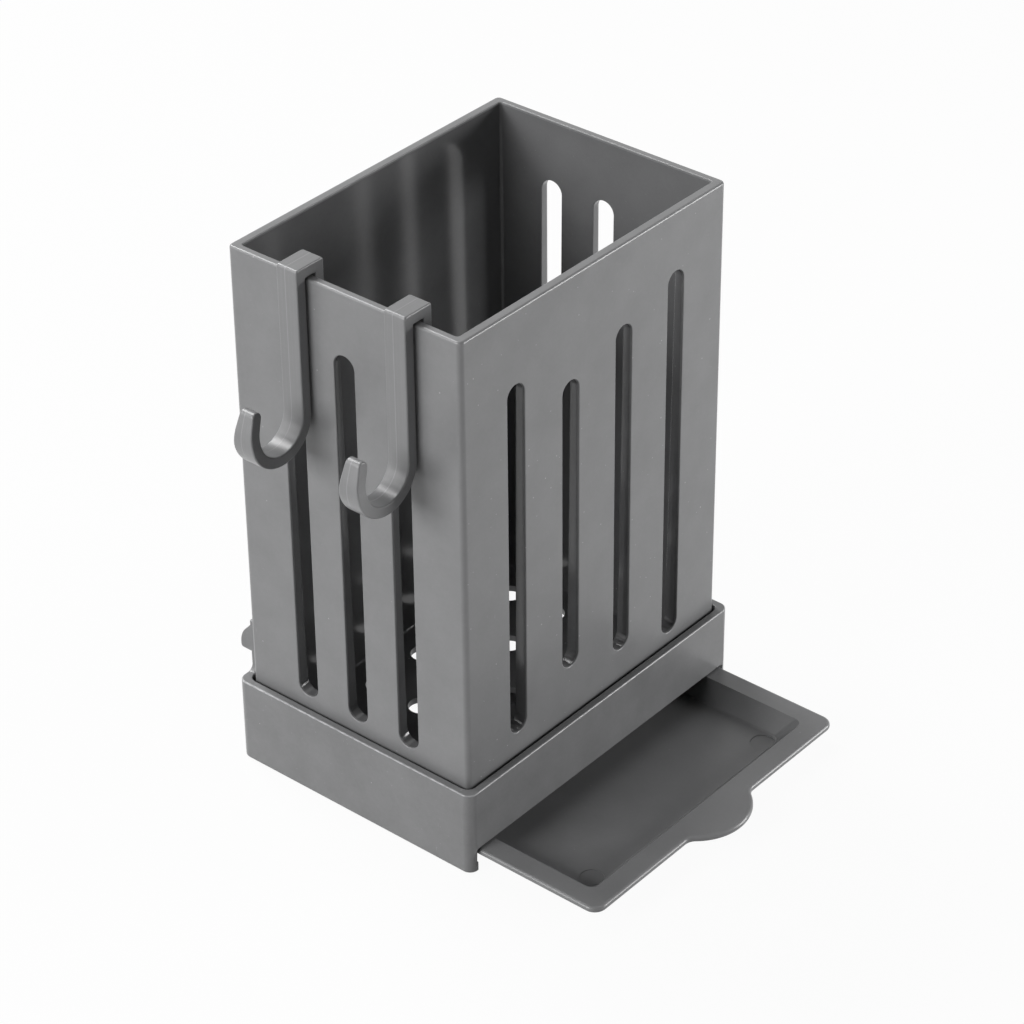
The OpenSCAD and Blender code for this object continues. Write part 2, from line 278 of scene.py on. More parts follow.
def choose(piece, kind, test):
    """Selects only the vertices, edges or faces that pass a test, on a piece in edit mode."""
    bpy.ops.mesh.select_mode(type=kind)
    bpy.ops.mesh.select_all(action="DESELECT")
    shape = bmesh.from_edit_mesh(piece.data)
    shape.normal_update()
    parts = {"VERT": shape.verts, "EDGE": shape.edges, "FACE": shape.faces}[kind]
    for part in parts:
        if test(part):
            part.select_set(True)
    bmesh.update_edit_mesh(piece.data)


def pick(piece, kind, test):
    """Enters edit mode and selects the vertices, edges or faces that pass a test."""
    take(piece)
    bpy.ops.object.mode_set(mode="EDIT")
    choose(piece, kind, test)


def leave():
    """Goes back to object mode."""
    bpy.ops.object.mode_set(mode="OBJECT")


def pick_again(piece, test):
    """Selects the faces that pass a test on a piece that is being extruded."""
    bpy.ops.mesh.select_all(action="SELECT")
    bpy.ops.mesh.normals_make_consistent(inside=False)
    choose(piece, "FACE", test)


def pull_out(x, y, z):
    """Extrudes what is selected, and moves it."""
    bpy.ops.mesh.extrude_region_move(TRANSFORM_OT_translate={"value": (x, y, z)})


def runs_along(edge, axis):
    """Whether an edge runs along X, Y or Z."""
    a, b = (vertex.co for vertex in edge.verts)
    return abs((b - a).normalized()["XYZ".index(axis)]) > 0.999


def lies_at(edge, axis, value, slack=1e-5):
    """Whether both ends of an edge lie in a plane."""
    k = "XYZ".index(axis)
    return all(abs(vertex.co[k] - value) < slack for vertex in edge.verts)


def is_sharp(edge, degrees):
    """Whether the faces on both sides of an edge meet at more than an angle."""
    return len(edge.link_faces) == 2 and edge.calc_face_angle(0) > math.radians(degrees)


def round_edges(piece, test, radius, segments):
    """Rounds the edges that pass a test."""
    pick(piece, "EDGE", test)
    bpy.ops.mesh.bevel(
        offset=radius, segments=segments, profile=0.5, affect="EDGES", clamp_overlap=False
    )
    bpy.ops.mesh.select_all(action="SELECT")
    bpy.ops.mesh.remove_doubles(threshold=1e-6)
    leave()


def round_corners(piece, radius, segments=8):
    """Rounds the upright edges."""
    round_edges(piece, lambda e: runs_along(e, "Z"), radius, segments)


def narrow_down(piece, draft):
    """Draws in the bottom of an upright block, so that its sides slope by an angle."""
    corners = [Vector(corner) for corner in piece.bound_box]
    low, high = corners[0], corners[6]
    drawn_in = (high.z - low.z) * math.tan(draft)
    half = (high - low) / 2
    pick(piece, "VERT", lambda v: v.co.z < low.z + 1e-5)
    bpy.ops.transform.resize(value=(1 - drawn_in / half.x, 1 - drawn_in / half.y, 1))
    leave()


def join(pieces):
    """Joins cutters that don't touch each other into one."""
    take(pieces[0])
    for piece in pieces:
        piece.select_set(True)
    bpy.ops.object.join()
    return bpy.context.object


def combine(piece, other, operation):
    """Runs a boolean on a piece, and clears the other shape up."""
    take(piece)
    bpy.ops.object.modifier_add(type="BOOLEAN")
    step = piece.modifiers[-1]
    step.operation, step.object, step.solver = operation, other, "EXACT"
    bpy.ops.object.modifier_apply(modifier=step.name)
    bpy.data.objects.remove(other)


def add(piece, other):
    """Adds another shape to a piece."""
    combine(piece, other, "UNION")


def cut(piece, other):
    """Cuts another shape out of a piece."""
    combine(piece, other, "DIFFERENCE")


def weld(piece, distance):
    """Merges corners that lie closer than a distance."""
    pick(piece, "VERT", lambda v: True)
    bpy.ops.mesh.remove_doubles(threshold=distance)
    leave()


def trim(piece, place, outward):
    """Cuts a piece off flat at a plane, and closes it there."""
    pick(piece, "FACE", lambda f: True)
    bpy.ops.mesh.bisect(plane_co=place, plane_no=outward, use_fill=True, clear_outer=True)
    bpy.ops.mesh.select_all(action="SELECT")
    bpy.ops.mesh.dissolve_limited(angle_limit=math.radians(0.2))
    bpy.ops.mesh.normals_make_consistent(inside=False)
    leave()


def slot_cutter(name, centre, width, slot_length, depth, axis):
    """A cutter with round ends: a post whose upper and lower halves are pulled apart."""
    sides = 48
    cutter = add_post(name, centre, width / 2 / math.cos(math.pi / sides), depth, axis, sides)
    take(cutter)
    bpy.ops.object.mode_set(mode="EDIT")
    bpy.ops.mesh.select_all(action="SELECT")
    bpy.ops.mesh.dissolve_limited(angle_limit=math.radians(1))
    leave()
    # A half step of turn, so that no vertex lies on the line where the post is parted
    for vertex in cutter.data.vertices:
        offset = vertex.co - Vector(centre)
        k = 0 if axis == "Y" else 1
        a = math.atan2(offset.z, offset[k]) + math.pi / sides
        r = math.hypot(offset.z, offset[k])
        offset[k], offset.z = r * math.cos(a), r * math.sin(a)
        vertex.co = Vector(centre) + offset
    pull = (slot_length - width) / 2
    for side in (1, -1):
        pick(cutter, "VERT", lambda v, s=side: (v.co.z - centre[2]) * s > 0)
        bpy.ops.transform.translate(value=(0, 0, side * pull))
        leave()
    return cutter


def soften(piece, radius, segments=3, spare=lambda edge: False):
    """Rounds every edge that is still sharp, apart from those to be spared."""
    weld(piece, 2e-6)
    pick(piece, "FACE", lambda f: True)
    bpy.ops.mesh.dissolve_limited(angle_limit=math.radians(0.5))
    leave()
    round_edges(piece, lambda e: is_sharp(e, 38) and not spare(e), radius, segments)


def shade(piece):
    """Shades the flats flat and the roundings smooth."""
    take(piece)
    bpy.ops.object.shade_smooth_by_angle(angle=math.radians(40))
    bpy.ops.object.modifier_add(type="WEIGHTED_NORMAL")
    step = piece.modifiers[-1]
    step.weight, step.keep_sharp = 80, True
    bpy.ops.object.modifier_apply(modifier=step.name)


def hand_over(piece, node, material):
    """Dresses a finished piece and lets it stand for its part of the frame."""
    piece.data.materials.clear()
    piece.data.materials.append(material)
    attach(piece, node)
    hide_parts(node)


# Plastic


def ready_made(tree, kind):
    """The node of a kind that Blender puts into a new tree."""
    return next(node for node in tree.nodes if node.type == kind)


class Weave:
    """Adds nodes to a tree and links them."""

    def __init__(self, tree):
        self.tree = tree

    def feed(self, socket, value):
        """Puts a number on a socket, or links another socket to it."""
        if isinstance(value, bpy.types.NodeSocket):
            self.tree.links.new(value, socket)
        elif value is not None:
            socket.default_value = value

    def node(self, kind, label, **values):
        """A node with some of its settings."""
        made = self.tree.nodes.new(kind)
        made.label = label
        for key, value in values.items():
            setattr(made, key, value)
        return made

    def maths(self, label, operation, a, b=None):
        """One sum on one or two numbers."""
        made = self.node("ShaderNodeMath", label, operation=operation)
        self.feed(made.inputs[0], a)
        self.feed(made.inputs[1], b)
        return made.outputs[0]

    def filled(self, kind, label, inputs, **values):
        """A node with some of its inputs fed."""
        made = self.node(kind, label, **values)
        for key, value in inputs.items():
            self.feed(made.inputs[key], value)
        return made

    def ranged(self, label, value, low, high, new_low=0.0, new_high=1.0):
        """A number carried over from one range to another, and held there."""
        ends = {"From Min": low, "From Max": high, "To Min": new_low, "To Max": new_high}
        made = self.filled("ShaderNodeMapRange", label, {"Value": value, **ends})
        return made.outputs["Result"]

    def scaled(self, label, colour, gain):
        """A colour times a number."""
        inputs = {"Vector": colour, "Scale": gain}
        return self.filled("ShaderNodeVectorMath", label, inputs, operation="SCALE").outputs[0]

    def parts(self, vector):
        """The X, Y and Z of a vector."""
        return self.filled("ShaderNodeSeparateXYZ", "Parts", {"Vector": vector}).outputs

    def moved(self, label, vector, **values):
        """A vector moved, turned or stretched."""
        inputs = {"Vector": vector, **values}
        return self.filled("ShaderNodeMapping", label, inputs).outputs["Vector"]

    def noise(self, label, vector, scale, detail=2.0):
        """Soft noise, with its scale in waves a metre."""
        inputs = {"Vector": vector, "Scale": scale, "Detail": detail}
        return self.filled("ShaderNodeTexNoise", label, inputs).outputs["Fac"]

    def spots(self, label, vector, scale, size, share):
        """Round spots in a share of the cells of an uneven grid."""
        inputs = {"Vector": vector, "Scale": scale}
        cells = self.filled("ShaderNodeTexVoronoi", label, inputs, feature="F1")
        colour = {"Color": cells.outputs["Color"]}
        lot = self.filled("ShaderNodeSeparateColor", label + " lot", colour)
        chosen = self.maths(label + " chosen", "GREATER_THAN", lot.outputs["Red"], 1 - share)
        radius = self.ranged(label + " radius", lot.outputs["Green"], 0, 1, size * 0.5, size)
        near = self.maths(label + " nearness", "DIVIDE", cells.outputs["Distance"], radius)
        spot = self.ranged(label + " spot", near, 1.0, 0.5)
        return self.maths(label + " shown", "MULTIPLY", spot, chosen)

    def scratches(self, label, vector, turn, stretch, size, share):
        """Hair lines: spots of a grid that is turned and then drawn out along one direction."""
        turned = self.moved(label + " turn", vector, Rotation=turn)
        drawn = self.moved(label + " stretch", turned, Scale=stretch)
        return self.spots(label, drawn, 1.0, size, share)


def new_group(name, inputs, outputs):
    """A shader node group with its sockets by kind, a weave for its tree and its two ends."""
    group = bpy.data.node_groups.new(name, "ShaderNodeTree")
    for side, sockets in (("INPUT", inputs), ("OUTPUT", outputs)):
        for kind, labels in sockets.items():
            for label in labels:
                kind_name = "NodeSocket" + kind
                group.interface.new_socket(name=label, in_out=side, socket_type=kind_name)
    weave = Weave(group)
    given = weave.node("NodeGroupInput", "Given").outputs
    result = weave.node("NodeGroupOutput", "Result").inputs
    return group, weave, given, result


def moulded_skin():
    """The skin of moulded plastic: cloudy tone, pale specks, hair scratches and a fine grain."""
    name = "Moulded skin"
    if name in bpy.data.node_groups:
        return bpy.data.node_groups[name]
    group, w, given, result = new_group(
        name,
        {
            "Vector": ["Position"],
            "Color": ["Colour"],
            "Float": ["Clouding", "Specks", "Scratches", "Roughness"],
        },
        {"Color": ["Colour"], "Float": ["Roughness", "Height"]},
    )
    place = given["Position"]
    clouds = w.ranged("Cloud tone", w.noise("Clouds", place, 85.0, 3.0), 0.3, 0.7, -1.0, 1.0)
    mottle = w.noise("Mottle", place, 900.0)
    mottle_tone = w.ranged("Mottle tone", mottle, 0.3, 0.7, -0.4, 0.4)
    grain = w.noise("Mould grain", place, 4200.0)
    pale = w.spots("Pale specks", place, 400.0, 0.13, 0.06)
    tiny_place = w.moved("Tiny place", place, Location=(1.7, 1.2, 2.2))
    tiny = w.spots("Tiny specks", tiny_place, 700.0, 0.12, 0.2)
    scratched = w.maths(
        "All scratches",
        "MAXIMUM",
        w.scratches("Upright scratches", place, (0.04, 0.03, 0.0), (800, 800, 90), 0.12, 0.05),
        w.scratches("Lying scratches", place, (0.5, 0.0, 0.6), (900, 110, 900), 0.12, 0.04),
    )

    tone = w.maths("Tone", "ADD", clouds, mottle_tone)
    tone = w.maths("Tone amount", "MULTIPLY", tone, given["Clouding"])
    specks = w.maths("Light specks", "MAXIMUM", pale, w.maths("Tiny share", "MULTIPLY", tiny, 0.6))
    specks = w.maths("Speck amount", "MULTIPLY", specks, given["Specks"])
    hairs = w.maths("Scratch amount", "MULTIPLY", scratched, given["Scratches"])
    hairs = w.maths("Scratch tone", "MULTIPLY", hairs, 0.4)
    marks = w.maths("Marks", "ADD", specks, hairs)
    gain = w.maths("Gain", "ADD", w.maths("Sum", "ADD", tone, marks), 1.0)
    w.feed(result["Colour"], w.scaled("Colour times gain", given["Colour"], gain))

    rough = w.maths("Rough clouds", "MULTIPLY", clouds, 0.02)
    rough = w.maths("Rough mottle", "ADD", rough, w.maths("Sheen", "MULTIPLY", mottle_tone, 0.03))
    rough = w.maths("Rough", "ADD", rough, given["Roughness"])
    scuffed = w.maths("Scuffs", "MULTIPLY", scratched, 0.02)
    w.feed(result["Roughness"], w.maths("Rough scratches", "ADD", rough, scuffed))

    height = w.maths("Grain height", "MULTIPLY", grain, 0.35)
    height = w.maths("All heights", "ADD", height, w.maths("Swell", "MULTIPLY", mottle, 0.4))
    w.feed(result["Height"], height)
    return group


def inside_box():
    """A mask of what lies within half sizes about the middle, between a bottom and a top."""
    name = "Inside of a box"
    if name in bpy.data.node_groups:
        return bpy.data.node_groups[name]
    group, w, given, result = new_group(
        name,
        {"Vector": ["Position"], "Float": ["Half X", "Half Y", "Bottom", "Top"]},
        {"Float": ["Mask"]},
    )
    parts = w.parts(given["Position"])
    above = w.maths("Above the floor", "GREATER_THAN", parts["Z"], given["Bottom"])
    below = w.maths("Below the rim", "LESS_THAN", parts["Z"], given["Top"])
    mask = w.maths("Between", "MULTIPLY", above, below)
    for axis in "XY":
        off = w.maths("Off the middle " + axis, "ABSOLUTE", parts[axis])
        near = w.maths("Within " + axis, "LESS_THAN", off, given["Half " + axis])
        mask = w.maths("And within " + axis, "MULTIPLY", mask, near)
    w.feed(result["Mask"], mask)
    return group


def parting_line():
    """The line where the two halves of a mould met, and the fine lines beside it."""
    name = "Parting line"
    if name in bpy.data.node_groups:
        return bpy.data.node_groups[name]
    group, w, given, result = new_group(
        name,
        {"Vector": ["Position"], "Float": ["Centre X", "Half width"]},
        {"Float": ["Line", "Streaks"]},
    )
    off = w.maths("Off", "SUBTRACT", w.parts(given["Position"])["X"], given["Centre X"])
    near = w.maths("Near", "DIVIDE", w.maths("Distance", "ABSOLUTE", off), given["Half width"])
    w.feed(result["Line"], w.ranged("Line", near, 1.0, 0.3))
    drawn = w.moved("Drawn out", given["Position"], Scale=(1900.0, 14.0, 14.0))
    w.feed(result["Streaks"], w.ranged("Streaks", w.noise("Lines", drawn, 1.0), 0.3, 0.7, -1, 1))
    return group


def satin_plastic(name, clouding, specks, scratches, tone=1.0):
    """Satin moulded plastic with its own strength of clouding, specks and scratches; a tone under 1
    is painted shade.
    """
    given = bpy.context.scene.holder_plastic
    material = bpy.data.materials.new(name)
    material.use_nodes = True
    w = Weave(material.node_tree)
    shader = ready_made(material.node_tree, "BSDF_PRINCIPLED")
    place = w.node("ShaderNodeTexCoord", "Place").outputs["Object"]
    inputs = {
        "Position": place,
        "Colour": (*(tone * part for part in given.colour), 1),
        "Clouding": clouding,
        "Specks": specks,
        "Scratches": scratches,
        "Roughness": given.roughness,
    }
    skin = w.filled("ShaderNodeGroup", "Skin", inputs, node_tree=moulded_skin())
    inputs = {"Strength": 0.25, "Distance": 0.04 * MM, "Height": skin.outputs["Height"]}
    bump = w.filled("ShaderNodeBump", "Relief", inputs)
    w.feed(shader.inputs["Base Color"], skin.outputs["Colour"])
    w.feed(shader.inputs["Roughness"], skin.outputs["Roughness"])
    w.feed(shader.inputs["Normal"], bump.outputs["Normal"])
    shader.inputs["IOR"].default_value = given.ior
    return material, w, shader, skin, bump, place


def basket_plastic(half_x, half_y, bottom, top):
    """The basket's plastic, which is smoother inside than outside, and darkened inside by painted
    shade.
    """
    given = bpy.context.scene.holder_plastic
    material, w, shader, skin, _, place = satin_plastic("Basket plastic", 0.05, 0.95, 0.8)
    inputs = {"Position": place, "Half X": half_x, "Half Y": half_y, "Bottom": bottom, "Top": top}
    box = w.filled("ShaderNodeGroup", "Inside", inputs, node_tree=inside_box())
    inside = box.outputs["Mask"]
    polish = w.ranged("Polish", inside, 0.0, 1.0, 1.0, given.inner_roughness)
    rough = w.maths("Polished", "MULTIPLY", skin.outputs["Roughness"], polish)
    w.feed(shader.inputs["Roughness"], rough)
    # Painted shade: the colour inside the basket is darkened by this share
    depth = w.ranged("Depth", inside, 0.0, 1.0, 1.0, given.inner_painted_shade)
    w.feed(
        shader.inputs["Base Color"],
        w.scaled("Painted shade inside", skin.outputs["Colour"], depth),
    )
    return material


def base_plastic(rim, rounding):
    """The base's plastic, with a painted highlight along the outer edge of its rim, made uneven by
    noise.
    """
    # The tone 0.9 draws the base darker than the basket: painted shade
    material, w, shader, skin, _, place = satin_plastic("Base plastic", 0.08, 1.3, 1.0, 0.9)
    # Painted highlight: a pale line along the rounding of the rim's outer edge, made uneven by noise
    half = 0.5 * rounding
    off = w.maths("Off the edge", "SUBTRACT", w.parts(place)["Z"], rim - half)
    near = w.maths("Nearness", "DIVIDE", w.maths("Distance", "ABSOLUTE", off), half)
    line = w.ranged("Painted edge highlight", near, 1.0, 0.4)
    highlight_strength = w.ranged("Highlight strength", w.noise("Highlight breaks", place, 420.0, 2.0), 0.35, 0.65, 0.3, 1.2)
    gain = w.maths("Gain", "ADD", w.maths("Painted highlight", "MULTIPLY", line, highlight_strength), 1.0)
    w.feed(shader.inputs["Base Color"], w.scaled("Colour with painted highlight", skin.outputs["Colour"], gain))
    return material


def hook_plastic(name, line_x):
    """A hook's plastic, with the mould's parting line along the strip at a given X."""
    material, w, shader, skin, bump, place = satin_plastic(name, 0.03, 0.25, 0.3)
    inputs = {"Position": place, "Centre X": line_x, "Half width": 0.2 * MM}
    seam = w.filled("ShaderNodeGroup", "Seam", inputs, node_tree=parting_line())
    tone = w.maths("Line tone", "MULTIPLY", seam.outputs["Line"], 0.3)
    streaks = w.maths("Streak tone", "MULTIPLY", seam.outputs["Streaks"], 0.04)
    gain = w.maths("Gain", "ADD", w.maths("Tones", "ADD", tone, streaks), 1.0)
    w.feed(shader.inputs["Base Color"], w.scaled("Colour with lines", skin.outputs["Colour"], gain))
    ridge = w.maths("Ridge", "MULTIPLY", seam.outputs["Line"], 1.5)
    lines = w.maths("Fine lines", "MULTIPLY", seam.outputs["Streaks"], 0.08)
    relief = w.maths("Relief with lines", "ADD", skin.outputs["Height"], ridge)
    w.feed(bump.inputs["Height"], w.maths("All relief", "ADD", relief, lines))
    return material


# Pieces


class HOLDER_OT_basket(bpy.types.Operator):
    """Model the slotted basket with its drain holes"""

    bl_idname = "holder.basket"
    bl_label = "Basket"
    bl_options = {"REGISTER", "UNDO"}

    def execute(self, context):
        s = context.scene.holder_basket
        low, high = BASKET_LOW, BASKET_HIGH
        middle = (low + high) / 2
        floor_top = low.z + s.floor

        basket = add_block("Basket", low, high)
        round_corners(basket, s.corner)
        round_edges(basket, lambda e: lies_at(e, "Z", high.z), s.rim_round, 5)
        round_edges(basket, lambda e: lies_at(e, "Z", low.z), s.foot_round, 3)

        wall = Vector((s.long_wall, s.end_wall, 0))
        above = Vector((0, 0, MM))
        inside = add_block(
            "Basket inside", low + wall + Vector((0, 0, s.floor)), high - wall + above
        )
        round_corners(inside, s.inner_corner, 6)
        narrow_down(inside, s.draft)
        round_edges(inside, lambda e: lies_at(e, "Z", floor_top), s.floor_round, 4)
        cut(basket, inside)

        depth = 12 * MM
        cutters = []
        count = len(s.side_slot_lengths)
        for k, slot_length in enumerate(s.side_slot_lengths):
            y = middle.y + (k - (count - 1) / 2) * s.side_pitch
            place = (high.x - s.long_wall / 2, y, s.slot_middle)
            cutters.append(slot_cutter("Side slot", place, s.side_slot, slot_length, depth, "X"))
        for y in (low.y + s.end_wall / 2, high.y - s.end_wall / 2):
            for k in range(s.end_slot_count):
                x = middle.x + (k - (s.end_slot_count - 1) / 2) * s.end_pitch
                place, long = (x, y, s.slot_middle), s.end_slot_length
                cutters.append(slot_cutter("End slot", place, s.end_slot, long, depth, "Y"))
        cut(basket, join(cutters))
        soften(basket, s.edge_round)

        columns, rows = 4, 5
        drains = []
        for k in range(columns):
            for j in range(rows):
                x = middle.x + (k - (columns - 1) / 2) * s.drain_pitch_x
                y = middle.y + (j - (rows - 1) / 2) * s.drain_pitch_y
                place = (x, y, low.z + s.floor / 2)
                drains.append(add_post("Drain hole", place, s.drain / 2, depth, sides=40))
        cut(basket, join(drains))
        round_edges(
            basket,
            lambda e: is_sharp(e, 60) and (lies_at(e, "Z", floor_top) or lies_at(e, "Z", low.z)),
            s.drain_round,
            2,
        )
        shade(basket)
        # The smooth inside and its painted shade begin under the outer faces' skin, so they reach
        # into the slots
        skin, hair = 0.7 * MM, 0.1 * MM
        material = basket_plastic(
            high.x - skin, high.y - skin, floor_top - hair, high.z - s.rim_round
        )
        hand_over(basket, "basket", material)
        return {"FINISHED"}


class HOLDER_OT_base(bpy.types.Operator):
    """Model the base with its ledge, the tray's bay and the rear tabs"""

    bl_idname = "holder.base"
    bl_label = "Base"
    bl_options = {"REGISTER", "UNDO"}

    def execute(self, context):
        s = context.scene.holder_base
        out = s.clearance + s.wall
        half_x, half_y = BASKET_HIGH.x, BASKET_HIGH.y
        side, end = half_x + out, half_y + out

        base = add_block("Base", (-side, -end, 0), (side, end, s.rim))
        round_corners(base, s.corner, 10)
        round_edges(base, lambda e: lies_at(e, "Z", s.rim), s.rim_round, 5)
        round_edges(base, lambda e: lies_at(e, "Z", 0), s.foot_round, 4)

        # The cutters reach this far past the base's sides and foot, and up to this height
        past, above = 10 * MM, 60 * MM
        x, y = half_x + s.clearance, half_y + s.clearance
        pocket = add_block("Pocket", (-x, -y, s.ledge), (x, y, above))
        round_corners(pocket, s.pocket_corner)
        cut(base, pocket)
        x, y = half_x - s.ledge_width, half_y - s.ledge_width
        cut(base, add_block("Under the basket", (-x, -y, -past), (x, y, above / 2)))
        bay_x, bay_y, door = half_x + s.bay_out, half_y + s.bay_out, side + past
        bay = add_block("Bay", (-bay_x, -bay_y, s.foot_lip_height), (door, bay_y, s.bay_height))
        round_edges(
            bay,
            lambda e: runs_along(e, "X") and lies_at(e, "Z", s.bay_height),
            s.bay_corner,
            6,
        )
        cut(base, bay)
        foot_y, foot_top = bay_y - s.foot_lip, 6 * MM
        cut(base, add_block("Feet", (-bay_x, -foot_y, -past), (door, foot_y, foot_top)))

        def on_a_foot(edge):
            """Whether an edge belongs to the narrow steps at the end walls' feet."""
            hair = 0.1 * MM
            return all(
                v.co.z < s.foot_lip_height + hair and foot_y - MM < abs(v.co.y) < bay_y + hair
                for v in edge.verts
            )

        soften(base, s.edge_round, spare=on_a_foot)

        for turn in (-1, 1):
            add(base, self.tab(s, side, turn * (half_y - s.tab_inset - s.tab_width / 2)))
        shade(base)
        hand_over(base, "base", base_plastic(s.rim, s.rim_round))
        return {"FINISHED"}

    def tab(self, s, side, y):
        """An upright tab on the rear wall, with the catch behind it."""
        half = s.tab_width / 2
        wide = half + s.tab_fillet
        root, top = s.rim - 4 * MM, BASE_HIGH.z
        # A hair inside the wall's faces, so that no two faces lie in one plane
        skin = 0.02 * MM
        outer, inner = skin - side, s.wall - skin - side
        sunk = s.rim + s.tab_fillet - 2 * skin
        tab = add_block("Tab", (outer, y - wide, root), (inner, y + wide, top))
        hollows, beside = [], []
        for k in (-1, 1):
            place = (-side, y + k * wide, sunk)
            hollows.append(add_post("Hollow", place, s.tab_fillet, 20 * MM, "X"))
            near, far = sorted((k * half, k * wide * 2))
            low, high = (-side - MM, near + y, sunk), (inner + MM, far + y, top + MM)
            beside.append(add_block("Beside the tab", low, high))
        cut(tab, join(hollows))
        cut(tab, join(beside))
        weld(tab, 0.01 * MM)
        soften(tab, s.edge_round)

        face_top = s.catch_height + s.catch_face
        slope_top = top - 0.5 * MM
        catch = add_block(
            "Catch",
            (BASE_LOW.x, y - half + skin, s.catch_height),
            ((outer + inner) / 2, y + half - skin, slope_top),
        )
        pick(catch, "VERT", lambda v: v.co.x < outer - MM and v.co.z > face_top)
        bpy.ops.transform.translate(value=(0, 0, face_top - slope_top))
        leave()
        for height, radius, steps in (
            (face_top, s.catch_round, 8),
            (s.catch_height, s.catch_under_round, 5),
        ):
            round_edges(
                catch,
                lambda e, z=height: runs_along(e, "Y")
                and lies_at(e, "X", BASE_LOW.x)
                and lies_at(e, "Z", z),
                radius,
                steps,
            )
        soften(catch, s.edge_round)
        add(tab, catch)
        return tab


class HOLDER_OT_drip_tray(bpy.types.Operator):
    """Model the drip tray with its basin and pull tab"""

    bl_idname = "holder.drip_tray"
    bl_label = "Drip tray"
    bl_options = {"REGISTER", "UNDO"}

    def execute(self, context):
        s = context.scene.holder_tray
        low, high = TRAY_LOW, TRAY_HIGH
        front = high.x - s.tab_out
        under, top = high.z - s.rim_thickness, high.z
        tray = add_block("Drip_tray", (low.x, low.y, under - MM), (front, high.y, top + MM))
        round_corners(tray, s.corner, 10)

        centre = high.x - s.tab_radius
        reach = front + s.tab_fillet - centre
        root = math.sqrt((s.tab_radius + s.tab_fillet) ** 2 - reach**2)
        meet = centre + reach * s.tab_radius / (s.tab_radius + s.tab_fillet)
        mid_z = (under + top) / 2
        past = 2 * MM
        hips = add_block("Tab hips", (front - 4 * MM, -root, under - past), (meet, root, top + past))
        hollows = [
            add_post("Tab hollow", (front + s.tab_fillet, y, mid_z), s.tab_fillet, 20 * MM, sides=96)
            for y in (-root, root)
        ]
        cut(hips, join(hollows))
        add(tray, hips)
        add(tray, add_post("Pull tab", (centre, 0, mid_z), s.tab_radius, 8 * MM, sides=192))
        trim(tray, (0, 0, top), (0, 0, 1))
        trim(tray, (0, 0, under), (0, 0, -1))
        # Merges the close corners where the tab's round meets its hollows
        weld(tray, 0.15 * MM)
        round_edges(tray, lambda e: lies_at(e, "Z", top) and is_sharp(e, 60), s.lip_round, 5)
        round_edges(tray, lambda e: lies_at(e, "Z", under) and is_sharp(e, 60), s.under_round, 2)

        open_low = Vector((low.x + s.rim_width, low.y + s.rim_width, 0))
        open_high = Vector((front - s.rim_width, high.y - s.rim_width, 0))
        floor_top = low.z + s.floor
        shell = self.basin(s, open_low, open_high, mid_z, low.z, s.rim_thickness, s.foot_round)
        add(tray, shell)
        hollow = self.basin(s, open_low, open_high, top, floor_top, 0.0, s.basin_round)
        pick(hollow, "FACE", lambda f: f.normal.z > 0.99)
        pull_out(0, 0, 2 * MM)
        leave()
        cut(tray, hollow)

        middle = (open_low + open_high) / 2
        span = (open_high - open_low) / 2
        marks = []
        for kx in (-1, 1):
            for ky in (-1, 1):
                x = middle.x + kx * (span.x - s.mark_inset_x)
                y = middle.y + ky * (span.y - s.mark_inset_y)
                place, depth = (x, y, floor_top), 2 * s.mark_depth
                marks.append(add_post("Moulding mark", place, s.mark / 2, depth, sides=48))
        cut(tray, join(marks))
        shade(tray)
        # The tone 0.95 draws the tray darker than the basket: painted shade
        plastic = satin_plastic("Tray plastic", 0.04, 0.5, 0.5, 0.95)[0]
        hand_over(tray, "drip_tray", plastic)
        return {"FINISHED"}

    def basin(self, s, open_low, open_high, top, bottom, grow, foot_round):
        """The basin's room, or its shell with some growth: a block whose sides slope in downwards."""
        out = Vector((grow, grow, 0))
        low, high = open_low - out + Vector((0, 0, bottom)), open_high + out + Vector((0, 0, top))
        block = add_block("Basin", low, high)
        centre = (open_low + open_high) / 2
        pick(block, "VERT", lambda v: v.co.z < bottom + 1e-5)
        size = open_high - open_low + 2 * out
        bpy.ops.transform.resize(
            value=((size.x - 2 * s.slope) / size.x, (size.y - 2 * s.slope) / size.y, 1),
            center_override=(centre.x, centre.y, bottom),
        )
        leave()
        round_edges(
            block,
            lambda e: abs(e.verts[0].co.z - e.verts[1].co.z) > MM,
            s.basin_corner + grow,
            8,
        )
        round_edges(block, lambda e: lies_at(e, "Z", bottom), foot_round, 6)
        return block


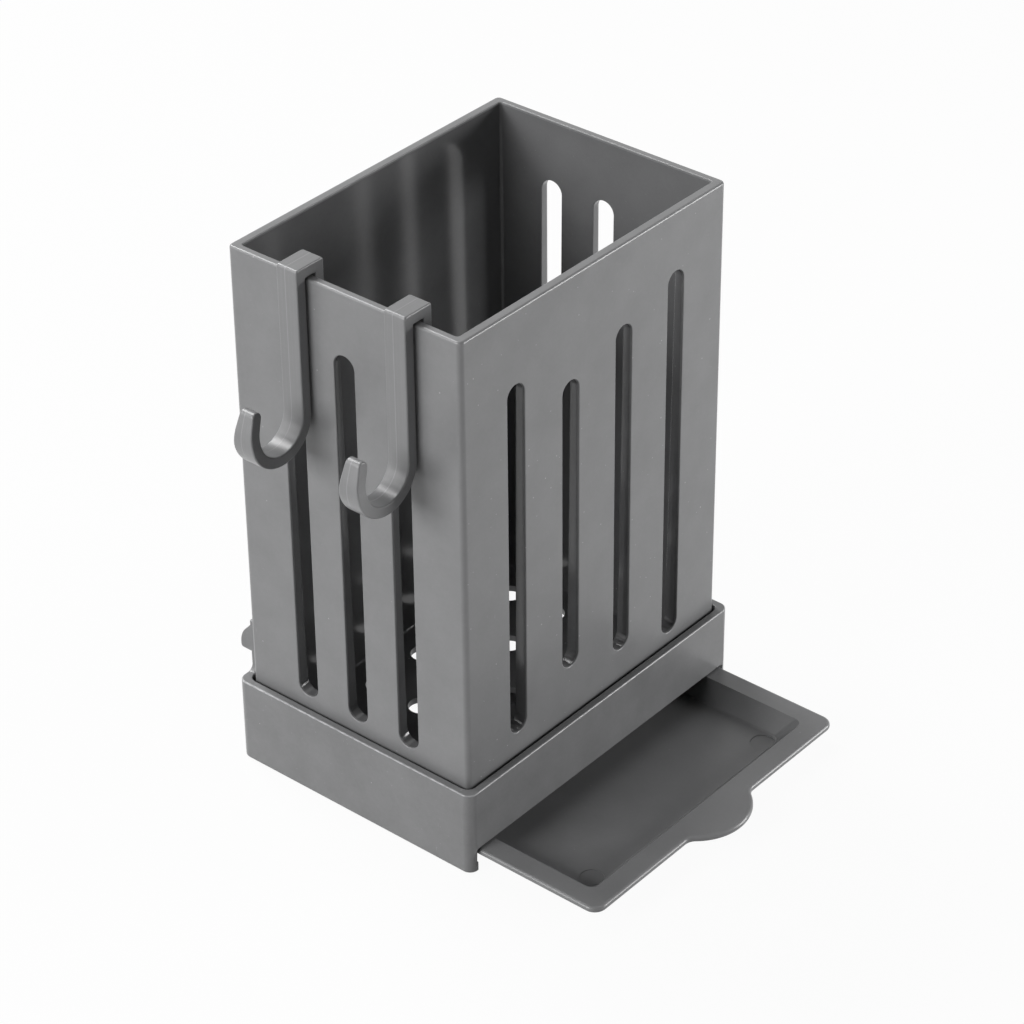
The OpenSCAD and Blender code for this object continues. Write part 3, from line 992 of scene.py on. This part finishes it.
class HOLDER_OT_hooks(bpy.types.Operator):
    """Model a hook, and hang a copy of it at the second place"""

    bl_idname = "holder.hooks"
    bl_label = "Hooks"
    bl_options = {"REGISTER", "UNDO"}

    def execute(self, context):
        s = context.scene.holder_hook
        left_x = (HOOK_LEFT_LOW.x + HOOK_LEFT_HIGH.x) / 2
        right_x = (HOOK_RIGHT_LOW.x + HOOK_RIGHT_HIGH.x) / 2
        left = self.hook(s, "Hook_left", left_x)
        right = left.copy()
        right.data = left.data.copy()
        right.name = "Hook_right"
        context.scene.collection.objects.link(right)
        take(right)
        right.location.x = right_x - left_x
        bpy.ops.object.transform_apply(location=True, rotation=True, scale=True)
        for piece, node, x in ((left, "hook_left", left_x), (right, "hook_right", right_x)):
            plastic = hook_plastic(piece.name + "_plastic", x - s.line_offset)
            hand_over(piece, node, plastic)
        return {"FINISHED"}

    def hook(self, s, name, x):
        """Extrudes the leg, the bar and the strap, then spins the bend and draws out the arm."""
        thick, top = s.thickness, HOOK_LEFT_HIGH.z
        under = top - thick
        wide = HOOK_LEFT_HIGH.x - HOOK_LEFT_LOW.x
        back = BASKET_LOW.y - s.front_gap
        front = back - thick
        leg_front = BASKET_LOW.y + bpy.context.scene.holder_basket.end_wall + s.rear_gap
        leg = 16 * MM
        leg_foot = BASKET_HIGH.z - leg

        clear_selection()
        bpy.ops.mesh.primitive_plane_add(size=1, location=(x, leg_front + thick / 2, leg_foot))
        bpy.context.object.scale = (wide, thick, 1)
        hook = settle(name)
        bpy.ops.object.mode_set(mode="EDIT")
        bpy.ops.mesh.select_all(action="SELECT")
        pull_out(0, 0, under - leg_foot)
        pull_out(0, 0, thick)
        pick_again(hook, lambda f: f.normal.y < -0.9 and f.calc_center_median().z > under)
        pull_out(0, back - leg_front, 0)
        pull_out(0, -thick, 0)
        pick_again(
            hook,
            lambda f: abs(f.calc_center_median().y - (back + front) / 2) < MM
            and abs(f.calc_center_median().z - under) < 1e-5,
        )
        pull_out(0, 0, s.bend_height - under)
        centre_y = front - s.bend_radius
        sweep = math.pi + s.lean
        bpy.ops.mesh.spin(
            steps=36, angle=sweep, center=(x, centre_y, s.bend_height), axis=(1, 0, 0)
        )
        reach = s.arm + thick / 2
        pull_out(0, math.sin(s.lean) * reach, math.cos(s.lean) * reach)
        bpy.ops.mesh.select_all(action="SELECT")
        bpy.ops.mesh.remove_doubles(threshold=1e-6)
        bpy.ops.mesh.normals_make_consistent(inside=False)
        leave()

        middle_r = s.bend_radius + thick / 2
        tip_y = centre_y - middle_r * math.cos(s.lean) + reach * math.sin(s.lean)
        tip_z = s.bend_height + middle_r * math.sin(s.lean) + reach * math.cos(s.lean)
        tip = Vector((x, tip_y, tip_z))
        # The tip's two edges lie half the thickness from its middle, and take a bit less than that
        near, tip_round = thick * 0.51, thick * 0.47
        round_edges(
            hook,
            lambda e: runs_along(e, "X") and all((v.co - tip).yz.length < near for v in e.verts),
            tip_round,
            8,
        )
        round_edges(hook, lambda e: runs_along(e, "X") and lies_at(e, "Z", top), s.top_round, 5)
        # Narrows the free arm evenly, from below its foot to just past its tip
        start_z = s.bend_height - s.taper_drop
        for vertex in hook.data.vertices:
            if vertex.co.y < centre_y and vertex.co.z > start_z:
                share = (vertex.co.z - start_z) / (tip_z + 0.2 * MM - start_z)
                narrow = 1 - share * (1 - s.tip_width / wide)
                vertex.co.x = x + (vertex.co.x - x) * narrow
        soften(hook, s.edge_round)
        shade(hook)
        return hook


# Stage


def white_to_the_eye(tree, shader, output, shade_share):
    """Shows a surface as white, with a share of its own shade, to the camera and in gloss."""
    w = Weave(tree)
    rays = w.node("ShaderNodeLightPath", "Rays").outputs
    seen = w.maths("Camera or gloss", "MAXIMUM", rays["Is Camera Ray"], rays["Is Glossy Ray"])
    seen = w.maths("Or glass", "MAXIMUM", seen, rays["Is Transmission Ray"])
    white = w.filled("ShaderNodeEmission", "White", {"Color": (1, 1, 1, 1)})
    inputs = {"Fac": w.maths("White share", "MULTIPLY", seen, 1 - shade_share)}
    mix = w.filled("ShaderNodeMixShader", "Mix", inputs)
    w.feed(mix.inputs[1], shader.outputs[0])
    w.feed(mix.inputs[2], white.outputs[0])
    w.feed(output.inputs["Surface"], mix.outputs[0])


def add_softbox(name, azimuth, elevation, size, power, distance):
    """A square soft light that faces the holder from a direction given in degrees."""
    clear_selection()
    middle = Vector((0.01, 0, 0.08))
    flat, up = math.radians(azimuth), math.radians(elevation)
    reach = Vector((math.cos(flat) * math.cos(up), math.sin(flat) * math.cos(up), math.sin(up)))
    bpy.ops.object.light_add(type="AREA", location=middle + distance * reach)
    lamp = bpy.context.object
    lamp.name = name
    lamp.data.shape = "SQUARE"
    lamp.data.size, lamp.data.energy = size, power
    lamp.rotation_euler = (-reach).to_track_quat("-Z", "Y").to_euler()


# Azimuth from +X and elevation in degrees, side in metres, power in watts, distance in metres
SOFTBOXES = {
    "Left softbox": (255, 22, 0.7, 18.6, 1.5),
    "Edge softbox": (222, 38, 0.35, 2.0, 1.5),
    "Right softbox": (42, 8, 0.35, 5.3, 0.8),
    "Rear softbox": (175, 47, 0.7, 20.5, 1.5),
}
# The shares of light that the floor and the surroundings give off, less than their looks
PAPER_GREY = 0.6
SURROUNDINGS_GREY = 0.01


class HOLDER_OT_stage(bpy.types.Operator):
    """Set up the floor, the lights and the camera"""

    bl_idname = "holder.stage"
    bl_label = "Stage"
    bl_options = {"REGISTER", "UNDO"}

    def execute(self, context):
        scene = context.scene
        given = scene.holder_studio
        scene.view_settings.view_transform = "Standard"

        clear_selection()
        hair = 0.2 * MM
        bpy.ops.mesh.primitive_plane_add(size=8, location=(0, 0, -hair))
        floor = settle("Floor")
        paper = bpy.data.materials.new("White paper")
        paper.use_nodes = True
        tree = paper.node_tree
        shader = ready_made(tree, "BSDF_PRINCIPLED")
        shader.inputs["Base Color"].default_value = (PAPER_GREY, PAPER_GREY, PAPER_GREY, 1)
        shader.inputs["Roughness"].default_value = 0.9
        shader.inputs["Specular IOR Level"].default_value = 0.0
        white_to_the_eye(tree, shader, ready_made(tree, "OUTPUT_MATERIAL"), 0.05)
        floor.data.materials.append(paper)

        world = bpy.data.worlds.new("Studio")
        scene.world = world
        world.use_nodes = True
        tree = world.node_tree
        back = ready_made(tree, "BACKGROUND")
        grey = SURROUNDINGS_GREY
        back.inputs["Color"].default_value = (grey, grey, grey, 1)
        white_to_the_eye(tree, back, ready_made(tree, "OUTPUT_WORLD"), 0.0)

        for name, values in SOFTBOXES.items():
            add_softbox(name, *values)

        bpy.ops.object.camera_add(location=given.camera_place, rotation=given.camera_turn)
        camera = context.object
        camera.name = "Camera"
        camera.data.lens_unit = "FOV"
        camera.data.angle = given.field_of_view
        camera.data.clip_start, camera.data.clip_end = 0.01, 50
        scene.camera = camera
        clear_selection()
        return {"FINISHED"}


class HOLDER_PT_panel(bpy.types.Panel):
    """The holder's sizes, and a button for each piece"""

    bl_idname = "HOLDER_PT_panel"
    bl_label = "Chopstick holder"
    bl_space_type = "VIEW_3D"
    bl_region_type = "UI"
    bl_category = "Holder"

    def draw(self, context):
        layout = self.layout
        for operator, settings in (
            ("holder.stage", "holder_studio"),
            ("holder.basket", "holder_basket"),
            ("holder.base", "holder_base"),
            ("holder.drip_tray", "holder_tray"),
            ("holder.hooks", "holder_hook"),
            (None, "holder_plastic"),
        ):
            box = layout.box()
            if operator:
                box.operator(operator)
            values = getattr(context.scene, settings)
            for key in values.__annotations__:
                box.prop(values, key)


SETTINGS = {
    "holder_basket": BasketSettings,
    "holder_base": BaseSettings,
    "holder_tray": TraySettings,
    "holder_hook": HookSettings,
    "holder_plastic": PlasticSettings,
    "holder_studio": StudioSettings,
}
OPERATORS = (
    HOLDER_OT_stage,
    HOLDER_OT_basket,
    HOLDER_OT_base,
    HOLDER_OT_drip_tray,
    HOLDER_OT_hooks,
)


def register():
    for name, settings in SETTINGS.items():
        bpy.utils.register_class(settings)
        setattr(bpy.types.Scene, name, PointerProperty(type=settings))
    for operator in OPERATORS:
        bpy.utils.register_class(operator)
    bpy.utils.register_class(HOLDER_PT_panel)


def unregister():
    bpy.utils.unregister_class(HOLDER_PT_panel)
    for operator in reversed(OPERATORS):
        bpy.utils.unregister_class(operator)
    for name, settings in reversed(SETTINGS.items()):
        delattr(bpy.types.Scene, name)
        bpy.utils.unregister_class(settings)


def main():
    register()
    bpy.ops.holder.stage()
    bpy.ops.holder.basket()
    bpy.ops.holder.base()
    bpy.ops.holder.drip_tray()
    bpy.ops.holder.hooks()
    bpy.context.view_layer.update()


if __name__ == "__main__":
    main()
